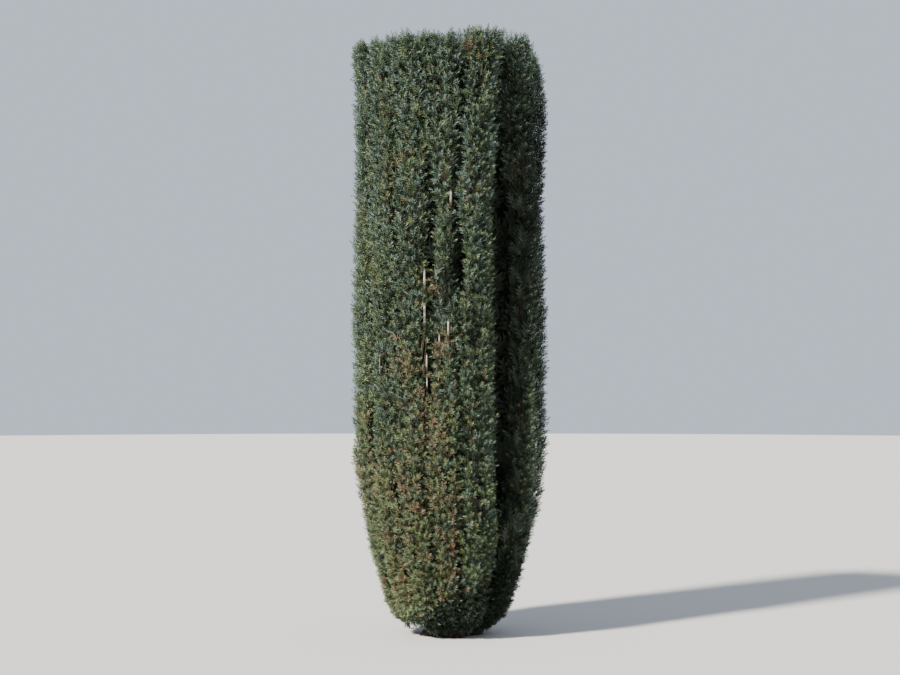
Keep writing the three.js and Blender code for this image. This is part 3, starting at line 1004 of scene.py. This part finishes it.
turnedPlaces = [  # x, height, radius, the share of shoots there that have turned, and to what
    (-0.2, 0.8, 0.07, 0.25, "rust"),
    (-0.25, 0.9, 0.05, 0.2, "rust"),
    (-0.11, 1.24, 0.08, 0.25, "rust"),
    (0.13, 3.5, 0.09, 0.22, "rust"),
    (-0.33, 3.2, 0.1, 0.08, "rust"),
    (-0.3, 0.32, 0.09, 0.2, "rust"),
    (-0.11, 2.07, 0.07, 0.55, "bronze"),
    (-0.03, 1.75, 0.08, 0.55, "bronze"),
    (-0.23, 1.62, 0.09, 0.45, "bronze"),
    (-0.13, 1.42, 0.1, 0.45, "bronze"),
    (-0.31, 2.86, 0.06, 0.4, "bronze"),
]


def paintedShadeShare(x, y, z):  # how many of the shoots at each point are painted dark as shade: ridge, cleft's flank, foot, dim places
    below = eased(z, *paintedShade["below"])
    ridge = eased(x, *paintedShade["ridgeRight"]) * eased(z, *paintedShade["ridgeAbove"]) * below
    paler = paintedShade["paler"] * eased(x, *paintedShade["palerRight"]) * eased(z, *paintedShade["palerBelow"])
    ridge = ridge * (1 - paler) * (y < paintedShade["ridgeBefore"])
    edge = mix(*paintedShade["cleftEdge"], eased(z, *paintedShade["edgeMoves"]))
    flank = eased(x, edge, paintedShade["cleftOver"]) * eased(x, *paintedShade["cleftLeft"]) * below
    flank = paintedShade["cleftShare"] * flank * (y < paintedShade["cleftBefore"])
    foot = eased(z - paintedShade["footSlope"] * x, *paintedShade["foot"]) * (y < 0)
    dark = np.max([ridge, flank, foot], axis=0)
    for *place, share in paintedShadePlaces:
        dark = np.maximum(dark, share * nearness(x, z, *place) * (y < 0))
    return dark


def dealtLooks(root, twig, random):  # the colour of each shoot: patches by twig, browner low down, and dark colours as painted shade
    x, y, z = root.T
    left = np.maximum(ramp(x, *dealt["brownLeft"]), dealt["leastLeft"])
    left = np.where(y < 0, left, dealt["brownBehind"])
    strip = dealt["stripShare"] * nearness(x, z, *dealt["strip"]) * (y < 0)
    brown = np.clip(left * ramp(z, *dealt["brownBelow"]) + strip, dealt["leastBrown"], 1)
    low, high, top, paintedShadeShares = np.array([shares for _, _, _, shares in needleColours]).T
    lit = mix(mix(high, top, eased(z, *dealt["topAbove"])[:, None]), low, brown[:, None])
    weights = mix(lit, paintedShadeShares, paintedShadeShare(x, y, z)[:, None])
    total = np.cumsum(weights / weights.sum(axis=1, keepdims=True), axis=1)
    shared = random.random(twig.max() + 1)[twig]
    own = random.random(len(root))
    pick = np.where(random.random(len(root)) < dealt["byTwig"], shared, own)
    look = (pick[:, None] > total).sum(axis=1)
    for middle, height, radius, share, turned in turnedPlaces:
        near = (np.hypot(x - middle, z - height) < radius) & (y < 0)
        look = np.where(near & (random.random(len(root)) < share), needleNames.index(turned), look)
    return np.minimum(look, len(needleNames) - 1)


def dressedShoots(root, along, length, look, random):  # needles and axes of the shoots
    order = random.integers(0, len(shootShapes), len(root))
    facing = heading(random.random(len(root)) * 2 * math.pi) + (0, 0, shoot["roll"])
    turns = turnsTo(along, facing, length / shoot["length"])
    parts = []
    for n, shape in enumerate(shootShapes):
        mine = order == n
        points, faces = scattered(shape, turns[mine], root[mine])
        looks = np.where(tipNeedle[None], tipOf[look[mine]][:, None], look[mine][:, None])
        parts.append((points, faces, looks.ravel()))
    points, faces = scattered(axis, turns, root)
    return parts, (points, faces, np.zeros(len(faces), int))


inTwig = {  # twigs in the shade, which carry older sprays
    "pitch": 0.042,
    "footPitch": 0.0125,  # closer, up to the next height
    "footOver": 0.75,
    "rise": 0.1,
    "sag": 0.03,
    "turn": 0.4,  # radians from the side twigs' bearings
    "reach": {"outer": 0.8, "inner": 0.95},
    "points": 4,
    "topGap": 0.1,
    "low": {"outer": 0.1, "inner": 0.38},
    "radius": (0.004, 0.002),
}
inSpray = {
    "count": 15,
    "first": 0.7,  # how far along the twig the first is, in steps, and how much is left past the last
    "left": 0.2,
    "ahead": 0.5,
    "wild": (1, 1, 0.5),
    "upward": (0, 0, 0.75),
    "outerSize": (0.55, 0.8),
    "innerSize": (1, 1.3),
    "across": 0.065,  # how far the inner sprays reach in among the next column's
    "within": 0.035,  # how far the outer ones stay short of it
    "topGap": 0.06,
    "largeWithin": 0.68,  # share of the crown's reach inside which the sprays are of the inner size
    "largeFrom": 0.6,
}


def inTwigLines(column, line):
    low, high = inTwig["low"][column["ring"]], column["top"] - inTwig["topGap"]
    foot = np.arange(low, inTwig["footOver"], inTwig["footPitch"])
    z = np.concatenate([foot, np.arange(inTwig["footOver"], high, inTwig["pitch"])])
    turn = np.arange(len(z)) * goldenShare * 2 * math.pi + inTwig["turn"]
    end = atFace(column, math.radians(column["bearing"]) + turn, z, 0)
    end = mix(axisAt(column, z), end, inTwig["reach"][column["ring"]])
    start = alongStem(line, z - inTwig["rise"])
    step = np.linspace(0, 1, inTwig["points"])[None, :, None]
    curve = mix(start[:, None], end[:, None], step)
    curve[..., 2] -= inTwig["sag"] * np.sin(step[..., 0] * math.pi)
    return curve


def shadedSprays(column, lines, random):  # older sprays along the inside of every twig
    count = inSpray["count"]
    share = (np.arange(count) + inSpray["first"]) / (count + inSpray["left"])
    root, ahead = (spots.reshape(-1, 3) for spots in lineSpots(lines, share))
    wild = random.uniform(-1, 1, root.shape) * inSpray["wild"]
    along = unit(ahead * inSpray["ahead"] + wild + inSpray["upward"])
    large = np.hypot(root[:, 0], root[:, 1]) < faceReach(column, root[:, 2]) * inSpray["largeWithin"]
    large &= root[:, 2] > inSpray["largeFrom"]
    turn = np.arctan2(root[:, 1], root[:, 0])
    large &= (turn < cleft["turn"][0]) | (turn > cleft["turn"][1])
    large |= not column["outer"]
    across = 0 if column["index"] == cleft["behind"] else inSpray["across"]
    small = random.uniform(*inSpray["outerSize"], len(root))
    size = np.where(large, random.uniform(*inSpray["innerSize"], len(root)), small)
    tip = root + along * (size * spray["length"])[:, None]
    away = tip - axisAt(column, tip[:, 2])
    room = reachAt(column, np.arctan2(away[:, 1], away[:, 0]), tip[:, 2], clearance)
    kept = np.hypot(away[:, 0], away[:, 1]) < room + np.where(large, across, -inSpray["within"])
    kept &= tip[:, 2] < column["top"] - inSpray["topGap"]
    kept &= ~nearLimb(root) & ~nearLimb(tip)
    facing = heading(random.random(kept.sum()) * 2 * math.pi) + (0, 0, 0.01)
    points, faces = scattered(shade, turnsTo(along[kept], facing, size[kept]), root[kept])
    return points, faces, np.full(len(faces), needleNames.index("shade"))


def growColumn(column):
    random = np.random.default_rng(sideTwig["seed"] + column["index"])
    line = stemLine(column)
    wood = [bentRods(line[None], stem["radius"], stem["sides"], 0)]
    needles, axes = [], []
    groups = [(capTwigLines, capTwig["shoots"])]
    if column["outer"] or column["index"] in cleftSides:
        groups.insert(0, (sideTwigLines, sideTwig["shoots"]))
    if column["outer"]:
        groups.append((skirtTwigLines, skirtTwig["shoots"]))
    for make, count in groups:
        wayIn, twigs = make(column, line, random)
        root, along, length, twig = shootsOn(column, twigs, count, random)
        share = keptInSpace(column, root, along, length)
        tip = root + along * length[:, None]
        bared = (inWindow(root) | inWindow(tip)) & (random.random(len(root)) > bareStem["covered"])
        kept = (share > 0) & ~bared & ~nearLimb(root) & ~nearLimb(tip)
        look = dealtLooks(root, twig, random)
        made, axisPart = dressedShoots(root[kept], along[kept], (length * share)[kept], look[kept], random)
        needles += made
        axes.append(axisPart)
        whole = np.concatenate([wayIn, twigs[:, 1:]], axis=1)
        wood.append(bentRods(whole, sideTwig["radius"], sideTwig["sides"], 0))
    inside = inTwigLines(column, line)
    wood.append(bentRods(inside, inTwig["radius"], sideTwig["sides"], 0))
    needles.append(shadedSprays(column, inside, random))
    for x, low, high, radius, owner in bareStems:
        if owner == column["index"]:
            bare = bareStemLine(column, line, x, low, high)[None]
            radii = [radius * share for share in bareStem["taper"]]
            wood.append(bentRods(bare, radii, bareStem["sides"], 1))
    name, node = column["name"], f"foliage_{column['name']}"
    wooden = joined(f"twigs_{name}", wood + axes, [barks["twig"], barks["bareStem"]], node)
    return wooden, joined(f"needles_{name}", needles, needleMaterials, node)


total = 0
for column in columns:
    made = growColumn(column)
    total += sum(made)
    print(f"column {column['name']}: {made[0]} triangles of twig, {made[1]} of needle")
print(f"{total} triangles of foliage")


# Floor, light and camera

studio = {
    "floorRadius": 40,
    "floorSides": 96,
    "floorColour": (0.5, 0.49, 0.47),
    "floorRoughness": 0.9,
    "sky": (0.76, 0.85, 1),
    "skyStrength": 0.85,
    "sunTurn": -49,  # degrees, left of the camera
    "sunHeight": 39,
    "sunRange": 12,
    "sunStrength": 12.2,
    "sunColour": (1, 0.95, 0.87),
    "sunSoftness": 5,
    "cameraRange": 10.65,
    "cameraHeight": 1.555,
    "aim": 1.82,
    "lens": 69,
    "sensor": 36,
}


def makeFloor():
    bm = bmesh.new()
    bmesh.ops.create_circle(bm, cap_ends=True, segments=studio["floorSides"], radius=studio["floorRadius"])
    material, tree, shader = newMaterial("paleFloor")
    colour = (*studio["floorColour"], 1)
    setInputs(tree, shader, {"Base Color": colour, "Roughness": studio["floorRoughness"]})
    shown("floor", meshFrom("floor", bm, material))


def makeLight():
    world = bpy.data.worlds.new("paleSky")
    scene.world = world
    world.use_nodes = True
    sky = {"Color": (*studio["sky"], 1), "Strength": studio["skyStrength"]}
    setInputs(world.node_tree, world.node_tree.nodes["Background"], sky)
    lamp = bpy.data.lights.new("key", "SUN")
    lamp.energy = studio["sunStrength"]
    lamp.color = studio["sunColour"]
    lamp.angle = math.radians(studio["sunSoftness"])
    key = shown("key", lamp)
    turn, height = math.radians(studio["sunTurn"]), math.radians(studio["sunHeight"])
    level = math.cos(height)
    towards = Vector((math.sin(turn) * level, -math.cos(turn) * level, math.sin(height)))
    key.rotation_euler = towards.to_track_quat("Z", "Y").to_euler()
    key.location = towards * studio["sunRange"]


def makeCamera():
    data = bpy.data.cameras.new("camera")
    data.lens = studio["lens"]
    data.sensor_width = studio["sensor"]
    camera = shown("camera", data)
    camera.location = (0, -studio["cameraRange"], studio["cameraHeight"])
    towards = Vector((0, 0, studio["aim"])) - camera.location
    camera.rotation_euler = towards.to_track_quat("-Z", "Y").to_euler()
    scene.camera = camera


makeFloor()
makeLight()
makeCamera()
print("floor, light and camera ready")
